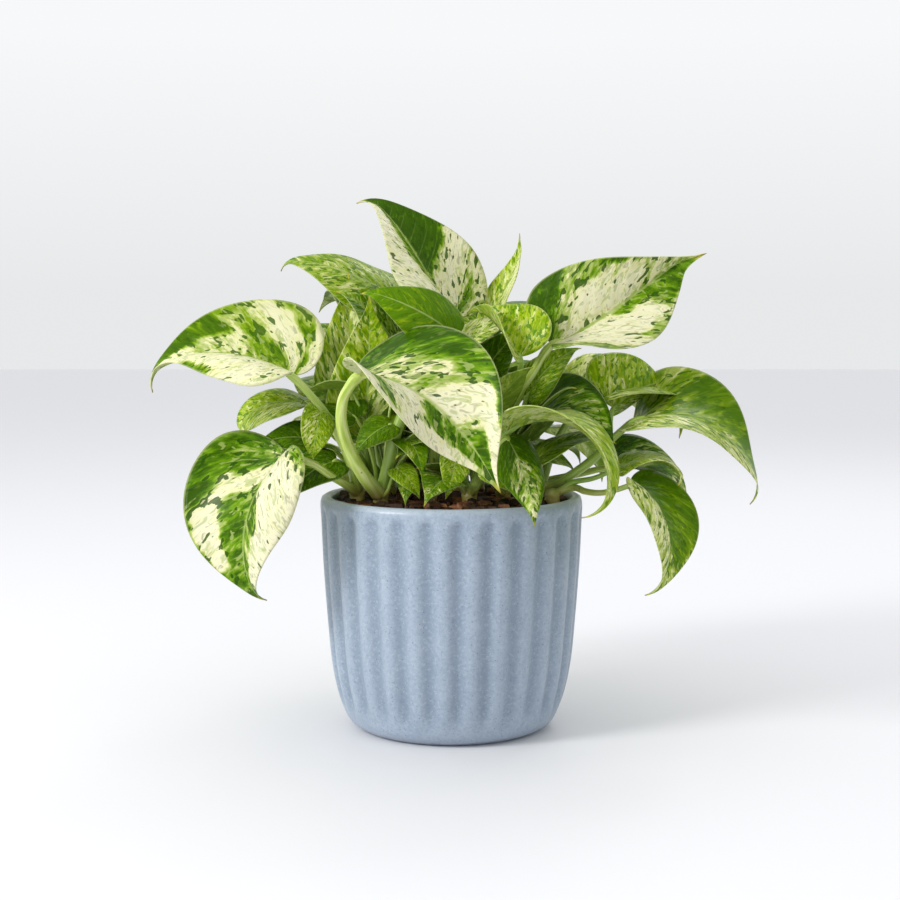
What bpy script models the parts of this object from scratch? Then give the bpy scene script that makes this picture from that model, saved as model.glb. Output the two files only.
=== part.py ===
"""Potted pothos: a fluted glazed planter, the soil that fills it and the leafy stems growing in the soil.

Sizes are in millimetres and become metres through MM. The planter stands on z = 0 with its axis on Z,
and the front of the plant faces -Y.
"""

import math
import random
from collections import namedtuple

import bpy
import numpy as np
from mathutils import Matrix

MM = 0.001

# Planter: 130 mm across the lip, 116.5 mm tall
FLUTES = 28
FLUTE_DEPTH = 1.6
FLUTE_PHASE = 3.0  # degrees from -Y to the first valley
FLUTE_FROM, FLUTE_TO = 6.0, 110.5
FLUTE_FADE_LOW, FLUTE_FADE_HIGH = 12.0, 5.0
STEPS_PER_FLUTE = 2
WALL_OUTSIDE = [  # radius, height from the middle of the base up to the top of the lip
    (0, 0), (43.5, 0), (46.6, 1.0), (50.6, 3.6), (53.2, 7.6), (57.0, 18.0), (60.0, 33.0), (62.0, 54.0),
    (64.0, 82.0), (65.0, 105.0), (65.2, 112.5), (64.4, 115.6), (62.2, 116.5),
]
WALL_INSIDE = [(60.0, 115.6), (58.9, 113.0), (58.4, 80.0), (54.5, 34.0), (47.0, 13.0), (40.0, 7.5), (0, 7.0)]

# Soil: fills the planter to just under the lip
GAP = 0.3  # between pieces that touch on the real plant
SOIL_TOP = 112.5
SOIL_CROWN = 1.6
SOIL_RADIUS = 58.3
SOIL_STEPS = 28
SOIL_PROFILE = [
    (0, 7.0 + GAP), (39.8, 7.5 + GAP), (46.6, 13.2 + GAP), (54.1, 34.0), (58.0, 80.0), (SOIL_RADIUS, 110.5),
    (55.0, SOIL_TOP - 0.6), (30.0, SOIL_TOP + 0.8), (0, SOIL_TOP + SOIL_CROWN),
]
BARK_CHIPS = 14
CHIP_LENGTH, CHIP_WIDTH, CHIP_HEIGHT = (5, 8), (3.5, 5.5), (3.0, 3.8)
CHIP_TILT = 0.25
CHIPS_WITHIN = 51.0
CHIP_SPACING = 9.0
CHIP_FROM_STEM = 10.2

# Stems: a short stem stands in a plain hole in the soil and carries every petiole
STEM_RADIUS = 4.2
STEM_SIDES = 8
STEM_DEPTH = 15.0
STEM_ABOVE = 9.0
STEMS = {  # place on the soil
    "front_left": (-34, -24), "left": (-46, -13), "left_inner": (-31, 3), "centre": (-9, -14),
    "front_right": (9, -22), "right_inner": (26, -7), "right": (43, -2), "right_rim": (49.5, -18),
    "back_right": (40, 22), "back": (14, 38), "back_mid": (-16, 38), "back_left": (-42, 22), "crown": (2, 14),
}

# Petioles start in the stem, each a little lower than the one before, and end in the blade's midrib
PETIOLE_START = 6.5
PETIOLE_DROP = 0.5
PETIOLE_OFFSET = 0.9
PETIOLE_END = 3  # point of the midrib
PETIOLE_SIDES = 6
BACK_PETIOLE = 2.3

# Blades: a flat heart shape, bent along its midrib and folded across it
BLADE_THICKNESS = 0.9
BLADE_ROWS, BLADE_COLUMNS = 6, 4
EDGE = np.array([(0, 0), (0.18, -0.17), (0.62, -0.13), (0.42, 0.58), (0.07, 0.80), (0, 1)])
EDGE_WEIGHTS = np.array([1, 5, 10, 10, 5, 1])
WIDEST = 0.36
SPINE_STEPS = 40

# A leaf stands on a stem with a petiole of some radius, led through a few points to the junction with the
# blade. Heading is azimuth, elevation and roll at the junction; size is length and the widths of the left and
# right halves; the midrib bends down and sways right, evenly and then more towards the tip, ends in a hook
# and twists; each half is folded up from the midrib and curled. Places in mm, angles in degrees.
Leaf = namedtuple(
    "Leaf", "stem petiole path junction heading size bend late_bend hook sway late_sway twist fold curl",
    defaults=(60, 0, 0, 0, 0, 0, (12, 12), (-20, -20)),
)
LEAVES = {
    "front": Leaf(
        "front_left", 3.5, [(-42, -38, 130), (-50, -50, 149), (-51, -58, 163), (-48, -62, 172)],
        (-41, -63, 179), (-12, -3, -12), (84, 1.35, 0.95), bend=45, late_bend=-35, sway=30, late_sway=10,
        twist=95, fold=(25, 10), curl=(15, -5)),
    "dark": Leaf(
        "front_left", 3.2, [(-30, -29, 135), (-25, -31, 154), (-11, -27, 179)], (2, -20, 196),
        (-138, 33, -78), (52, 0.87, 0.85), bend=50, late_bend=5, hook=25, fold=(0, 5), curl=(-40, -30)),
    "gloss_low": Leaf(
        "front_left", 1.5, [(-30, -30, 135)], (-29, -34, 154), (-137, -10, -34), (24, 1.0, 1.0), bend=70),
    "low_left": Leaf(
        "front_left", 1.2, [(-31, -32, 121)], (-26, -34, 133), (-51, -19, 23), (20, 0.9, 0.9)),
    "left_upper": Leaf(
        "left", 2.7, [(-48, -22, 132), (-58, -30, 155), (-67, -36, 168)], (-77, -38, 178),
        (163, 23, 23), (76, 1.2, 1.45), bend=65, late_bend=25, hook=45, sway=-10, late_sway=-10, twist=-20,
        fold=(10, 25), curl=(-75, 65)),
    "left_lower": Leaf(
        "left", 2.4, [(-50, -22, 123), (-58, -31, 129), (-68, -36, 136)], (-80, -35, 138),
        (-157, -40, 15), (77, 1.25, 1.6), bend=85, late_bend=10, hook=10, sway=5, late_sway=-5, twist=-40,
        fold=(25, 15), curl=(-80, 30)),
    "drop": Leaf(
        "left", 1.3, [(-53, -27, 145), (-57, -33, 157)], (-62, -40, 160),
        (-95, -37, -30), (25, 0.95, 1.0), bend=85, late_bend=-5, hook=15, sway=-15, twist=25,
        fold=(0, 20), curl=(-25, -5)),
    "dark_left": Leaf(
        "left", 1.7, [(-49, -10, 129)], (-64, -6, 143), (-156, 21, -40), (34, 1.0, 1.0)),
    "under_left": Leaf(
        "left", 1.6, [(-48, -16, 126)], (-56, -20, 135), (-141, -6, -29), (34, 1.0, 1.0), bend=70),
    "left_small": Leaf(
        "left_inner", 1.9, [(-45, -6, 130), (-58, -6, 149)], (-75, 5, 162),
        (178, 10, -13), (46, 1.05, 1.05), bend=90, late_bend=10, hook=40, twist=-55,
        fold=(10, 10), curl=(-15, -35)),
    "centre_left": Leaf(
        "left_inner", 2.0, [(-37, -8, 129)], (-49, -8, 152),
        (102, 78, -15), (75, 0.68, 0.62), bend=3, late_bend=-20, hook=-15, fold=(20, 15), curl=(-25, -25)),
    "centre_left_back": Leaf(
        "left_inner", 1.9, [(-39, -12, 129)], (-42, -16, 147), (-64, 81, 165), (66, 0.85, 0.85), bend=20),
    "upper_left": Leaf(
        "left_inner", 2.1, [(-37, 8, 143), (-33, 20, 182)], (-29, 23, 215),
        (-167, 30, -41), (61, 1.05, 1.0), bend=35, late_bend=10, hook=45, twist=10,
        fold=(5, 5), curl=(-30, -30)),
    "top": Leaf(
        "centre", 2.6, [(-8, -26, 145), (-2, -18, 178)], (2, 5, 206),
        (169, 49, 8), (76, 1.2, 1.15), bend=10, late_bend=35, hook=35, sway=-5, late_sway=-15, twist=-30,
        fold=(15, 25), curl=(-50, 40)),
    "inner_pale": Leaf(
        "centre", 1.6, [(-1, -22, 150)], (-1, -8, 186), (-32, 45, 46), (40, 0.9, 0.9), bend=50),
    "low_mid": Leaf(
        "centre", 1.2, [(-3, -24, 126)], (2, -34, 138), (-90, -20, -20), (24, 0.9, 0.9), bend=70),
    "right_curl": Leaf(
        "front_right", 2.4, [(15, -32, 132)], (28, -52, 153),
        (-13, 34, -7), (83, 1.0, 1.0), bend=160, late_bend=5, hook=20, twist=-5,
        fold=(15, 15), curl=(-10, -15)),
    "rim_front": Leaf(
        "front_right", 2.0, [(15, -36, 130), (21, -50, 144)], (26, -54, 149),
        (-75, -19, 25), (49, 0.9, 0.9), bend=70, hook=10, sway=15, late_sway=5, twist=-10,
        fold=(-10, -30), curl=(-80, -40)),
    "low_right": Leaf(
        "front_right", 1.2, [(13, -34, 124)], (16, -40, 133), (-34, -15, 37), (20, 0.9, 0.9)),
    "right_top": Leaf(
        "right_inner", 2.7, [(28, -8, 139), (32, -14, 165), (39, -20, 177)], (49, -23, 192),
        (21, 17, 46), (84, 1.05, 1.2), bend=-25, late_bend=15, hook=-60, sway=-10, late_sway=20, twist=70,
        fold=(25, 45), curl=(-35, 5)),
    "upper_curled": Leaf(
        "right_inner", 1.9, [(25, -14, 144), (30, -21, 167)], (33, -31, 186),
        (170, 53, -61), (40, 0.95, 1.5), bend=70, late_bend=30, hook=15, sway=15, late_sway=-15, twist=55,
        fold=(45, 35), curl=(25, 5)),
    "upright": Leaf(
        "right_inner", 1.8, [(23, -6, 144), (21, 2, 175)], (20, 19, 200),
        (25, 72, 6), (48, 0.65, 0.6), bend=0, late_bend=-30, hook=-40, sway=-10,
        fold=(20, 15), curl=(-5, -10)),
    "right_dark": Leaf(
        "right_inner", 2.2, [(30, -14, 132)], (37, 4, 151),
        (-50, 39, 23), (61, 1.1, 1.0), bend=95, late_bend=5, hook=10, sway=10, twist=-10,
        fold=(25, 10), curl=(10, -20)),
    "behind_small": Leaf(
        "right_inner", 1.5, [(31, 0, 143)], (38, -2, 166), (-35, 59, 76), (36, 0.9, 0.9)),
    "under_right": Leaf(
        "right_inner", 1.6, [(23, -28, 127)], (39, -30, 135), (-8, 45, 16), (42, 1.0, 1.0)),
    "right_round": Leaf(
        "right", 1.7, [(63, -12, 129), (77, -10, 143)], (80, -6, 160),
        (25, 33, 58), (47, 1.5, 0.5), late_bend=5, sway=10, late_sway=5, twist=-5,
        fold=(20, -70), curl=(-15, -10)),
    "right_droop": Leaf(
        "right", 2.6, [(59, -16, 128), (72, -14, 138), (80, -12, 146)], (90, -12, 154),
        (-28, 26, 15), (85, 1.4, 0.6), bend=105, late_bend=-30, hook=30, sway=-10, late_sway=10, twist=5,
        fold=(-10, 0), curl=(40, 0)),
    "right_lower": Leaf(
        "right_rim", 1.9, [(59, -20, 122), (65, -28, 121), (72, -34, 121), (79, -38, 123)], (87, -41, 125),
        (-15, -28, -16), (60, 1.2, 1.1), bend=100, late_bend=-5, hook=10, sway=-5, twist=25,
        fold=(15, 20), curl=(35, -65)),
    "right_mid": Leaf(
        "right_rim", 1.6, [(58, -20, 124), (70, -22, 127)], (83, -22, 133),
        (-18, 23, 11), (37, 1.05, 1.1), bend=90, late_bend=35, hook=30, sway=15, late_sway=-5, twist=-50,
        fold=(25, 15), curl=(-20, -50)),
    "inner_dark": Leaf(
        "crown", 1.6, [(13, 0, 143)], (13, -2, 171), (-56, 52, 104), (38, 0.9, 0.9), bend=50),
    "grey_behind": Leaf(
        "crown", 1.8, [(-13, 2, 143)], (-25, 8, 185), (-126, 56, -82), (46, 1.0, 1.0), bend=50),
}

# Leaves that the front hides stand where a full plant has them: stem, azimuth, reach, height and seed
BACK_LEAVES = [
    ("back_right", 5, 85, 130, 10), ("back_right", 50, 75, 145, 7), ("back", 75, 90, 130, 1),
    ("back_mid", 130, 75, 150, 2), ("back_left", 160, 85, 130, 30), ("right", 5, 70, 165, 46),
    ("back_right", 40, 60, 160, 3), ("back", 65, 70, 165, 46), ("back", 105, 55, 180, 2),
    ("back_mid", 135, 60, 170, 41), ("back_left", 160, 65, 185, 47), ("back_left", 165, 70, 180, 16),
    ("back", 60, 35, 200, 38), ("back_mid", 110, 35, 210, 4),
    ("back_left", 140, 45, 195, 1), ("back_mid", 100, 50, 150, 38),
    ("back", 85, 80, 190, 12), ("back", 90, 95, 150, 9),
]


def clear_scene():
    for obj in list(bpy.data.objects):
        bpy.data.objects.remove(obj)


def make_collection(name, hidden=False):
    collection = bpy.data.collections.new(name)
    bpy.context.scene.collection.children.link(collection)
    collection.hide_render = hidden
    return collection


def make_material(name, color, roughness):
    material = bpy.data.materials.new(name)
    material.use_nodes = True
    principled = material.node_tree.nodes["Principled BSDF"]
    principled.inputs["Base Color"].default_value = (*color, 1)
    principled.inputs["Roughness"].default_value = roughness
    return material


def move_to(obj, collection):
    for old in list(obj.users_collection):
        old.objects.unlink(obj)
    collection.objects.link(obj)


def remove_objects(collection):
    for obj in list(collection.objects):
        bpy.data.objects.remove(obj)


def apply_modifiers(obj):
    graph = bpy.context.evaluated_depsgraph_get()
    mesh = bpy.data.meshes.new_from_object(obj.evaluated_get(graph))
    obj.modifiers.clear()
    if obj.type == "MESH":
        obj.data = mesh
        return obj
    solid = bpy.data.objects.new(obj.name, mesh)
    for collection in obj.users_collection:
        collection.objects.link(solid)
    bpy.data.objects.remove(obj)
    return solid


def weld(obj, distance):
    modifier = obj.modifiers.new("weld", "WELD")
    modifier.merge_threshold = distance * MM
    return apply_modifiers(obj)


def recalculate_normals(obj):
    bpy.ops.object.select_all(action="DESELECT")
    obj.select_set(True)
    bpy.context.view_layer.objects.active = obj
    bpy.ops.object.mode_set(mode="EDIT")
    bpy.ops.mesh.select_all(action="SELECT")
    bpy.ops.mesh.normals_make_consistent(inside=False)
    bpy.ops.object.mode_set(mode="OBJECT")


def lathe(name, profile, steps, collection):
    """A closed solid turned about Z from (radius, height) points that start and end on the axis."""
    points = [(r * MM, 0, z * MM) for r, z in profile]
    mesh = bpy.data.meshes.new(name)
    mesh.from_pydata(points, [(i, i + 1) for i in range(len(points) - 1)], [])
    obj = bpy.data.objects.new(name, mesh)
    collection.objects.link(obj)
    screw = obj.modifiers.new("turn", "SCREW")
    screw.steps = steps
    screw.render_steps = steps
    screw.use_merge_vertices = True
    screw.merge_threshold = 0.02 * MM
    apply_modifiers(obj)
    recalculate_normals(obj)
    return obj


def boolean(obj, operation, helpers):
    """Join everything in the helpers collection to the object, or cut it from it, and remove the helpers."""
    modifier = obj.modifiers.new(operation.lower(), "BOOLEAN")
    modifier.operation = operation
    modifier.solver = "EXACT"
    modifier.operand_type = "COLLECTION"
    modifier.collection = helpers
    apply_modifiers(obj)
    remove_objects(helpers)
    return obj


# Planter


def flute_fade(z):
    """Full depth along the wall, arched off under the lip and faded out above the base."""
    low = min(1.0, max(0.0, (z - FLUTE_FROM) / FLUTE_FADE_LOW))
    high = min(1.0, max(0.0, (FLUTE_TO - z) / FLUTE_FADE_HIGH))
    return low * high


def build_planter(collection):
    planter = lathe("pot", WALL_OUTSIDE + WALL_INSIDE, FLUTES * STEPS_PER_FLUTE, collection)
    planter.data.transform(Matrix.Rotation(math.radians(FLUTE_PHASE), 4, "Z"))
    wall = {z: r for r, z in WALL_OUTSIDE[1:]}
    for vertex in planter.data.vertices:
        x, y, z = vertex.co / MM
        radius = math.hypot(x, y)
        if abs(radius - wall.get(round(z, 1), math.inf)) > 0.1:
            continue
        turn = math.atan2(x, -y) - math.radians(FLUTE_PHASE)
        depth = FLUTE_DEPTH * (0.5 + 0.5 * math.cos(FLUTES * turn)) * flute_fade(z)
        vertex.co.x *= (radius - depth) / radius
        vertex.co.y *= (radius - depth) / radius
    return planter


# Soil


def clear_of(x, y, places, distance):
    return all(math.hypot(x - a, y - b) > distance for a, b in places)


def build_soil(collection, helpers):
    soil = lathe("soil", SOIL_PROFILE, SOIL_STEPS, collection)
    rnd = random.Random(11)
    chips = []
    while len(chips) < BARK_CHIPS:
        turn = rnd.uniform(0, 2 * math.pi)
        radius = CHIPS_WITHIN * math.sqrt(rnd.random())
        x, y = radius * math.cos(turn), radius * math.sin(turn)
        if not (clear_of(x, y, chips, CHIP_SPACING) and clear_of(x, y, STEMS.values(), CHIP_FROM_STEM)):
            continue
        chips.append((x, y))
        bpy.ops.mesh.primitive_cube_add(size=MM)
        chip = bpy.context.object
        chip.scale = (rnd.uniform(*CHIP_LENGTH), rnd.uniform(*CHIP_WIDTH), rnd.uniform(*CHIP_HEIGHT))
        chip.rotation_euler = (
            rnd.uniform(-CHIP_TILT, CHIP_TILT), rnd.uniform(-CHIP_TILT, CHIP_TILT), rnd.uniform(0, math.pi)
        )
        crown = SOIL_CROWN * (1 - (radius / SOIL_RADIUS) ** 1.5)
        chip.location = (x * MM, y * MM, (SOIL_TOP + crown) * MM)
        move_to(chip, helpers)
    boolean(soil, "UNION", helpers)
    for x, y in STEMS.values():
        bpy.ops.mesh.primitive_cylinder_add(
            vertices=STEM_SIDES, radius=(STEM_RADIUS + GAP) * MM, depth=2 * (STEM_DEPTH + GAP) * MM,
            location=(x * MM, y * MM, SOIL_TOP * MM),
        )
        move_to(bpy.context.object, helpers)
    return boolean(soil, "DIFFERENCE", helpers)


# Leaves


def leaf_edge(u):
    """Right margin of the flat blade of length 1: from the junction at u = 0 round the lobe to the tip."""
    u = np.asarray(u, float)[..., None]
    k = np.arange(6)
    return (EDGE_WEIGHTS * u**k * (1 - u) ** (5 - k)) @ EDGE


def flat_blade(u, v):
    """Place on the flat blade of grid point u along and v across, -1 on the left margin to 1 on the right."""
    edge = leaf_edge(u)
    middle = u**1.15
    return v * edge[..., 0], middle + np.abs(v) ** 1.3 * (edge[..., 1] - middle)


def leaf_spine(leaf):
    """Points of the bent midrib with the side and normal directions at each."""
    azimuth, elevation, roll = (math.radians(a) for a in leaf.heading)
    along = np.array([
        math.cos(elevation) * math.cos(azimuth), math.cos(elevation) * math.sin(azimuth), math.sin(elevation)
    ])
    level = np.array([math.sin(azimuth), -math.cos(azimuth), 0.0])
    up = np.cross(level, along)
    side = math.cos(roll) * level - math.sin(roll) * up
    normal = math.cos(roll) * up + math.sin(roll) * level
    points, sides, normals = [np.array(leaf.junction, float)], [side], [normal]
    step = 1 / SPINE_STEPS
    for i in range(SPINE_STEPS):
        s = (i + 0.5) * step
        late = 1.5 * (2 * s - 1)
        down = math.radians(leaf.bend + leaf.late_bend * late + 50 * leaf.hook * max(0.0, s - 0.8)) * step
        right = math.radians(leaf.sway + leaf.late_sway * late) * step
        new_along = along - down * normal + right * side
        new_along /= np.linalg.norm(new_along)
        normal = normal + down * along + math.radians(leaf.twist) * step * side
        normal -= (normal @ new_along) * new_along
        normal /= np.linalg.norm(normal)
        points.append(points[-1] + (along + new_along) * 0.5 * step * leaf.size[0])
        along = new_along
        side = np.cross(along, normal)
        sides.append(side)
        normals.append(normal)
    return np.array(points), np.array(sides), np.array(normals)


def blade_points(leaf, u, v):
    """Millimetre positions of grid points (u, v) on the bent, folded blade, and its normals there."""
    length, left, right = leaf.size
    points, sides, normals = leaf_spine(leaf)
    x, y = flat_blade(u, v)
    x = x * np.where(v < 0, left, right)
    s = np.clip(y, 0, 1) * SPINE_STEPS
    i = np.minimum(s.astype(int), SPINE_STEPS - 1)
    f = (s - i)[..., None]
    centre = points[i] * (1 - f) + points[i + 1] * f
    side = sides[i] * (1 - f) + sides[i + 1] * f
    normal = normals[i] * (1 - f) + normals[i + 1] * f
    first = (points[1] - points[0]) / np.linalg.norm(points[1] - points[0])
    centre = centre + (np.minimum(y, 0) * length)[..., None] * first
    fold = np.radians(np.where(v < 0, *leaf.fold))
    curl = np.radians(np.where(v < 0, *leaf.curl)) / WIDEST
    curl = np.where(np.abs(curl) < 1e-4, 1e-4, curl)
    turned = fold + curl * np.abs(x)
    out = np.sign(x) * (np.sin(turned) - np.sin(fold)) / curl
    lift = (np.cos(fold) - np.cos(turned)) / curl
    return centre + (out * length)[..., None] * side + (lift * length)[..., None] * normal, normal


def back_leaf(stem, azimuth, reach, height, seed):
    """A leaf drawn by rule from its direction, reach and height: high ones rise, low ones droop."""
    rnd = random.Random(seed)
    low = min(1.0, max(0.0, (215 - height) / 85))
    turn = math.radians(azimuth)
    junction = (reach * math.cos(turn), reach * math.sin(turn), height)
    heading = (azimuth + rnd.uniform(-30, 30), 50 - 42 * low + rnd.uniform(-12, 12), rnd.uniform(-20, 20))
    size = (rnd.uniform(56, 78), rnd.uniform(0.95, 1.15), rnd.uniform(0.95, 1.15))
    bends = (
        55 + 50 * low + rnd.uniform(-20, 20), rnd.uniform(-12, 12), rnd.uniform(0, 35),
        rnd.uniform(-10, 10), rnd.uniform(-6, 6), rnd.uniform(-20, 20),
    )
    folds = rnd.uniform(8, 26), rnd.uniform(8, 26)
    curls = rnd.uniform(-45, 15), rnd.uniform(-45, 15)
    x, y = STEMS[stem]
    half_way = (
        x + (junction[0] - x) * 0.4, y + (junction[1] - y) * 0.4, SOIL_TOP + (height - SOIL_TOP) * 0.62
    )
    return Leaf(stem, BACK_PETIOLE, [half_way], junction, heading, size, *bends, folds, curls)


def all_leaves():
    return {**LEAVES, **{f"back_{i}": back_leaf(*row) for i, row in enumerate(BACK_LEAVES)}}


def build_blade(name, leaf, collection):
    """The blade from a grid: mapped on the leaf, welded at its two ends, triangulated and given thickness."""
    bpy.ops.mesh.primitive_grid_add(x_subdivisions=BLADE_ROWS, y_subdivisions=BLADE_COLUMNS, size=1)
    blade = bpy.context.object
    blade.name = name
    move_to(blade, collection)
    flat = np.array([tuple(vertex.co) for vertex in blade.data.vertices])
    points, normals = blade_points(leaf, flat[:, 0] + 0.5, flat[:, 1] * 2)
    for vertex, point in zip(blade.data.vertices, points):
        vertex.co = point * MM
    weld(blade, 0.05)
    blade.modifiers.new("triangles", "TRIANGULATE")
    thickness = blade.modifiers.new("thickness", "SOLIDIFY")
    thickness.thickness = BLADE_THICKNESS * MM
    thickness.offset = 0
    apply_modifiers(blade)
    recalculate_normals(blade)


def build_petiole(name, leaf, start, collection):
    """A tapered tube from the stem through its points and a little way into the blade."""
    curve = bpy.data.curves.new(name, "CURVE")
    curve.dimensions = "3D"
    curve.bevel_depth = leaf.petiole * MM
    curve.bevel_resolution = (PETIOLE_SIDES - 4) // 2
    curve.use_fill_caps = True
    curve.resolution_u = 2
    spline = curve.splines.new("BEZIER")
    places = [start, *leaf.path, leaf.junction, leaf_spine(leaf)[0][PETIOLE_END]]
    spline.bezier_points.add(len(places) - 1)
    for i, place in enumerate(places):
        point = spline.bezier_points[i]
        point.co = [c * MM for c in place]
        point.handle_left_type = "AUTO"
        point.handle_right_type = "AUTO"
        point.radius = 1.1 - 0.45 * i / (len(places) - 1)
    petiole = bpy.data.objects.new(name, curve)
    collection.objects.link(petiole)
    petiole = apply_modifiers(petiole)
    weld(petiole, 0.01)
    recalculate_normals(petiole)


def build_stem(name, leaves, collection, helpers):
    """One grown piece: the stem with every petiole and blade that it carries, joined by one union."""
    x, y = STEMS[name]
    bpy.ops.mesh.primitive_cylinder_add(
        vertices=STEM_SIDES, radius=STEM_RADIUS * MM, depth=(STEM_DEPTH + STEM_ABOVE) * MM,
        location=(x * MM, y * MM, (SOIL_TOP + (STEM_ABOVE - STEM_DEPTH) / 2) * MM),
    )
    stem = bpy.context.object
    stem.name = "stem_" + name
    move_to(stem, collection)
    for i, (leaf_name, leaf) in enumerate(leaves.items()):
        lean = math.atan2(leaf.path[0][1] - y, leaf.path[0][0] - x)
        start = (
            x + PETIOLE_OFFSET * math.cos(lean), y + PETIOLE_OFFSET * math.sin(lean),
            SOIL_TOP + PETIOLE_START - PETIOLE_DROP * i,
        )
        build_petiole(leaf_name + "_petiole", leaf, start, helpers)
        build_blade(leaf_name + "_blade", leaf, helpers)
    boolean(stem, "UNION", helpers)
    keep_largest(stem)
    return stem


def keep_largest(obj):
    """Drop any loose scrap that a union leaves where two thin blades barely touch."""
    mesh = obj.data
    group = list(range(len(mesh.vertices)))

    def root(i):
        while group[i] != i:
            group[i] = group[group[i]]
            i = group[i]
        return i

    for edge in mesh.edges:
        a, b = root(edge.vertices[0]), root(edge.vertices[1])
        group[a] = b
    roots = [root(i) for i in range(len(group))]
    largest = max(set(roots), key=roots.count)
    faces = [tuple(p.vertices) for p in mesh.polygons if roots[p.vertices[0]] == largest]
    used = sorted({i for face in faces for i in face})
    number = {old: new for new, old in enumerate(used)}
    kept = bpy.data.meshes.new(obj.name)
    kept.from_pydata(
        [tuple(mesh.vertices[i].co) for i in used], [], [[number[i] for i in face] for face in faces]
    )
    obj.data = kept


clear_scene()
plant = make_collection("potted_pothos")
helpers = make_collection("helpers", hidden=True)
glaze = make_material("blue_grey_glaze", (0.27, 0.34, 0.42), 0.35)
earth = make_material("potting_soil", (0.05, 0.03, 0.02), 0.9)
foliage = make_material("pothos_leaf", (0.13, 0.27, 0.04), 0.4)

build_planter(plant).data.materials.append(glaze)
build_soil(plant, helpers).data.materials.append(earth)
leaves = all_leaves()
for stem_name in STEMS:
    own = {name: leaf for name, leaf in leaves.items() if leaf.stem == stem_name}
    build_stem(stem_name, own, plant, helpers).data.materials.append(foliage)
bpy.data.collections.remove(helpers)
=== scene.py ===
"""Potted pothos, dressed: marbled leaves, striped petioles, bark soil and a speckled satin glaze.

Sizes are in millimetres and become metres through MM, in the same frame as the source.
"""

import math
import random
from collections import namedtuple

import bpy
import numpy as np
from mathutils import Matrix, Vector, noise


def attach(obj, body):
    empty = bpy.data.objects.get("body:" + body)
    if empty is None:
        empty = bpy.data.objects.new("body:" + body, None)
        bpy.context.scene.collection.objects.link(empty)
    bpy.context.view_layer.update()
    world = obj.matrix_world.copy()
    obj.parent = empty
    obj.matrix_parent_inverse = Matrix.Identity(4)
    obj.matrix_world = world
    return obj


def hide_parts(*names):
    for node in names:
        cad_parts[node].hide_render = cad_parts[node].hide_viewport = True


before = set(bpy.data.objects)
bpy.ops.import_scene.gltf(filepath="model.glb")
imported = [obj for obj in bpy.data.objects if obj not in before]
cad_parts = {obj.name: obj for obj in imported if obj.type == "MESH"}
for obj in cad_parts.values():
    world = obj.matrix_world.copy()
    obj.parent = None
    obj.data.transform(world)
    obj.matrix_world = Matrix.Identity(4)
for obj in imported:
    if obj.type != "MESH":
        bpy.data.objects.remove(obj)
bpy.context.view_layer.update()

MM = 0.001

# Planter: the same driving sizes as the source, with finer steps and flutes that are a little deeper
FLUTES = 28
FLUTE_DEPTH = 2.0
FLUTE_PHASE = 3.0  # degrees from -Y to the first valley
FLUTE_FROM, FLUTE_TO = 6.0, 110.5
FLUTE_FADE = 14.0  # height over which a flute fades in at the foot
FLUTE_ARCH = 3.2  # height of the arch that ends it under the lip
STEPS_PER_FLUTE = 16
WALL_STEPS = 150
WALL_OUTSIDE = [  # radius, height from the middle of the base up to the top of the lip
    (0, 0), (43.5, 0), (46.6, 1.0), (50.6, 3.6), (53.2, 7.6), (57.0, 18.0), (60.0, 33.0), (62.0, 54.0),
    (64.0, 82.0), (65.0, 105.0), (65.2, 112.5), (64.4, 115.6), (62.2, 116.5),
]
LIP_TOP = WALL_OUTSIDE[-1][1]
WALL_INSIDE = [(60.0, 115.6), (58.9, 113.0), (58.4, 80.0), (54.5, 34.0), (47.0, 13.0), (40.0, 7.5), (0, 7.0)]

# Soil
SOIL_TOP = 112.5
SOIL_CROWN = 1.6
SOIL_RADIUS = 58.0
SOIL_SKIRT = 8.0  # how far its edge is turned down
PEAT_RINGS, PEAT_SPOKES = 90, 200
LUMP_HEIGHT, LUMP_SIZE = 1.1, 7.0
GRAIN_HEIGHT, GRAIN_SIZE = 0.8, 2.6
BARK_CHIPS = 520
BARK_SEED = 5
BARK_RADIUS = 56.5
LONG_CHIPS = 0.7  # share of the chips
CUBE_CORNER = 0.87  # from the middle of a unit cube

# Stems
STEM_RADIUS = 4.2
STEM_DEPTH = 15.0
STEM_ABOVE = 9.0
STEMS = {  # place on the soil
    "front_left": (-34, -24), "left": (-46, -13), "left_inner": (-31, 3), "centre": (-9, -14),
    "front_right": (9, -22), "right_inner": (26, -7), "right": (43, -2), "right_rim": (49.5, -18),
    "back_right": (40, 22), "back": (14, 38), "back_mid": (-16, 38), "back_left": (-42, 22), "crown": (2, 14),
}

# Petioles start in the stem, each a little lower than the one before, and end in the blade's midrib
PETIOLE_START = 6.5
PETIOLE_DROP = 0.5
PETIOLE_OFFSET = 0.9
PETIOLE_END = 3  # point of the midrib
BACK_PETIOLE = 2.3

# Blades
BLADE_ROWS, BLADE_COLUMNS = 56, 28
SHORT_LEAF, SHORT_SHARE = 40, 0.5  # up to this length a leaf has this share of them
PLAIN_LENGTH = 80  # of the leaf that swells, waves and marbling are stated for
VEIN_FIELD = 50  # width of the field that its side veins cross
EDGE = np.array([(0, 0), (0.18, -0.17), (0.62, -0.13), (0.42, 0.58), (0.07, 0.80), (0, 1)])
EDGE_WEIGHTS = np.array([1, 5, 10, 10, 5, 1])
WIDEST = 0.36
SPINE_STEPS = 40
VEINS = 9  # on each side of the midrib
VEIN_SLANT, VEIN_CURVE = 0.7, 1.2
SWELL = 0.22  # height between side veins
MARGIN_WAVE, MARGIN_WAVES = 0.9, 17
TIP_FROM = 0.9  # the rest of the leaf is drawn out into the drip tip
DRIP_TIP = 4.5  # length past the plain tip
TIP_HOOK = 0.6  # share of that length by which it hooks under
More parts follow.
